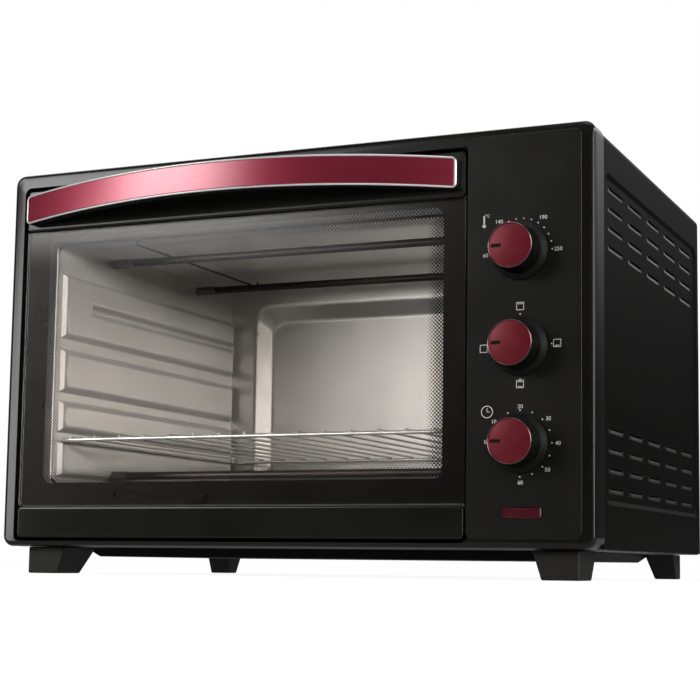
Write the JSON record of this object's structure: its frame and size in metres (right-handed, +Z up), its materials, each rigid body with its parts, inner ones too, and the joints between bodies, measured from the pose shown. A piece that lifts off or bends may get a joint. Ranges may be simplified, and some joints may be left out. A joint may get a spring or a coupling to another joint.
{
  "type": "electric oven",
  "caption": "Countertop electric oven: drop-down glass door with a bowed red handle, dials on a side control panel, wire rack, louvred cover and feet.",
  "frame": {"origin": "on the table, under the middle of the whole oven from the front of the handle to the back of the cover", "axes": "+X to the right seen from the front, +Y from the door to the back, +Z up"},
  "size_m": [0.52, 0.4004, 0.3429],
  "materials": {
    "gloss_black_plastic": "glossy moulded ABS",
    "panel_black_plastic": "satin moulded ABS with light prints",
    "black_enamelled_steel": "satin black powder coat on pressed steel sheet",
    "galvanised_steel": "bare galvanised sheet",
    "zinc_plated_steel": "bright zinc plate",
    "bell_steel": "pressed steel",
    "grey_cavity_enamel": "warm grey aluminised sheet with a soft sheen",
    "heater_steel": "oxidised heating tube",
    "chromed_wire": "chromed wire",
    "door_glass": "tempered glass with a dotted black border printed inside",
    "matt_black_plastic": "matt moulded plastic",
    "chrome_trim": "bright trim",
    "red_anodised_aluminium": "maroon anodised and finely brushed",
    "switch_plastic": "moulded phenolic",
    "red_lens": "clear red lens"
  },
  "bodies": {
    "housing": {"front_frame": "gloss_black_plastic", "control_panel": "panel_black_plastic", "outer_cover": "black_enamelled_steel", "back_panel": "black_enamelled_steel", "front_plate": "black_enamelled_steel", "base_pan": "black_enamelled_steel", "base_plate": "galvanised_steel", "left_hinge_bracket": "galvanised_steel", "right_hinge_bracket": "galvanised_steel", "heat_shield": "galvanised_steel", "heater_hanger": "galvanised_steel", "crumb_tray": "galvanised_steel", "timer_bell": "bell_steel", "cavity_shell": "grey_cavity_enamel", "cavity_back": "grey_cavity_enamel", "upper_front_heater": "heater_steel", "upper_rear_heater": "heater_steel", "lower_front_heater": "heater_steel", "lower_rear_heater": "heater_steel", "front_left_foot": "matt_black_plastic", "front_right_foot": "matt_black_plastic", "rear_left_foot": "matt_black_plastic", "rear_right_foot": "matt_black_plastic", "cord_inlet": "matt_black_plastic", "thermostat": "switch_plastic", "function_switch": "switch_plastic", "timer_case": "switch_plastic", "indicator_lamp": "switch_plastic", "terminal_block": "switch_plastic", "indicator_lens": "red_lens"},
    "door": {"door_top_rail": "gloss_black_plastic", "door_bottom_rail": "gloss_black_plastic", "door_glass": "door_glass", "door_inner_frame": "galvanised_steel", "handle_grip": "matt_black_plastic", "handle_trim": "chrome_trim", "handle_insert": "red_anodised_aluminium", "left_handle_screw": "zinc_plated_steel", "right_handle_screw": "zinc_plated_steel", "left_hinge_lug": "galvanised_steel", "right_hinge_lug": "galvanised_steel", "left_hinge_pin": "zinc_plated_steel", "right_hinge_pin": "zinc_plated_steel"},
    "temperature_dial": {"temperature_knob": "matt_black_plastic", "temperature_knob_cap": "red_anodised_aluminium", "temperature_knob_ring": "chrome_trim", "temperature_spindle": "zinc_plated_steel"},
    "function_dial": {"function_knob": "matt_black_plastic", "function_knob_cap": "red_anodised_aluminium", "function_knob_ring": "chrome_trim", "function_spindle": "zinc_plated_steel"},
    "timer_dial": {"timer_knob": "matt_black_plastic", "timer_knob_cap": "red_anodised_aluminium", "timer_knob_ring": "chrome_trim", "timer_spindle": "zinc_plated_steel"},
    "rack": {"wire_rack": "chromed_wire"}
  },
  "joints": [
    {"name": "door_hinge", "type": "hinge", "parent": "housing", "child": "door", "pos_m": [-0.044, -0.15575, 0.0385], "axis": [1, 0, 0], "range_deg": [0, 85]},
    {"name": "temperature_turn", "type": "hinge", "parent": "housing", "child": "temperature_dial", "pos_m": [0.2024, -0.16375, 0.2462], "axis": [0, 1, 0], "range_deg": [0, 180]},
    {"name": "function_turn", "type": "hinge", "parent": "housing", "child": "function_dial", "pos_m": [0.2024, -0.16375, 0.1736], "axis": [0, 1, 0], "range_deg": [0, 270]},
    {"name": "timer_turn", "type": "hinge", "parent": "housing", "child": "timer_dial", "pos_m": [0.2024, -0.16375, 0.101], "axis": [0, 1, 0], "range_deg": [0, 270]},
    {"name": "rack_slide", "type": "slide", "parent": "housing", "child": "rack", "axis": [0, -1, 0], "range_m": [0, 0.005]}
  ]
}
